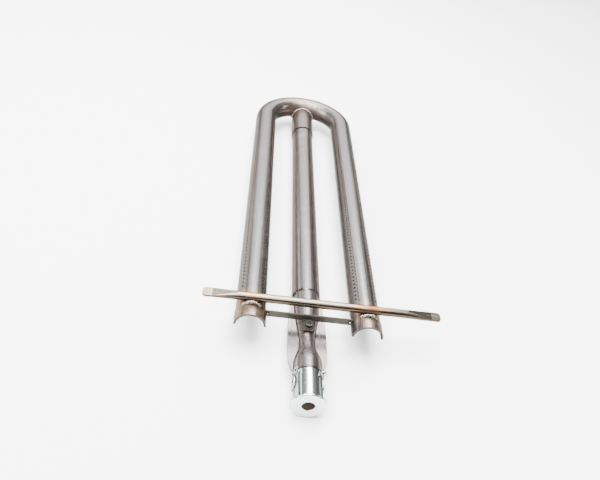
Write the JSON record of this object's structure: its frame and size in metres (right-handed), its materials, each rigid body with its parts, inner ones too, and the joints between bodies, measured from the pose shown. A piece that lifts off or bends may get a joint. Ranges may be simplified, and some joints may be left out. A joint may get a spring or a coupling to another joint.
{
  "type": "gas burner assembly",
  "caption": "U-shaped tubular gas burner with drilled ports, a central venturi mixer with an adjustable air shutter, a cross bar and a steadying strap.",
  "frame": {"origin": "centre of the orifice hole in the front face of the air shutter", "axes": "+Y along the mixer towards the bend, +Z towards the flame side, +X to the side where the cross bar is longer"},
  "size_m": [0.2496, 0.6021, 0.0558],
  "materials": {
    "burner_steel": "brushed, lightly heat stained",
    "mixer_steel": "drawn tube and pressed sheet, satin",
    "zinc_plate": "bright zinc plated sheet",
    "zinc_screw": "zinc plated",
    "bar_steel": "drawn, with straw heat tint",
    "strap_steel": "dark oxide, matt",
    "weld_metal": "rippled weld metal with heat tint",
    "plug_steel": "mill finish"
  },
  "bodies": {
    "burner": {"u_tube": "burner_steel", "left_end_ring": "burner_steel", "right_end_ring": "burner_steel", "left_end_plug": "plug_steel", "right_end_plug": "plug_steel", "left_plug_weld": "weld_metal", "right_plug_weld": "weld_metal", "mixing_tube": "mixer_steel", "tee_socket": "mixer_steel", "tee_weld": "weld_metal", "mixer_weld": "weld_metal", "venturi_upper_half": "mixer_steel", "venturi_lower_half": "mixer_steel", "cross_bar": "bar_steel", "left_bar_weld": "weld_metal", "right_bar_weld": "weld_metal", "cross_strap": "strap_steel", "left_strap_weld": "weld_metal", "right_strap_weld": "weld_metal", "strap_screw": "zinc_screw", "strap_washer": "strap_steel"},
    "shutter": {"air_shutter": "zinc_plate"},
    "lock_screw": {"shutter_lock_screw": "zinc_screw"}
  },
  "joints": [
    {"name": "shutter_turn", "type": "hinge", "parent": "burner", "child": "shutter", "pos_m": [0, 0.024, 0], "axis": [0, 1, 0], "range_deg": [0, 65]},
    {"name": "lock_screw_turn", "type": "hinge", "parent": "shutter", "child": "lock_screw", "pos_m": [0, 0.0334, 0], "axis": [0.8387, 0, 0.5446], "range_deg": [-180, 180]}
  ]
}
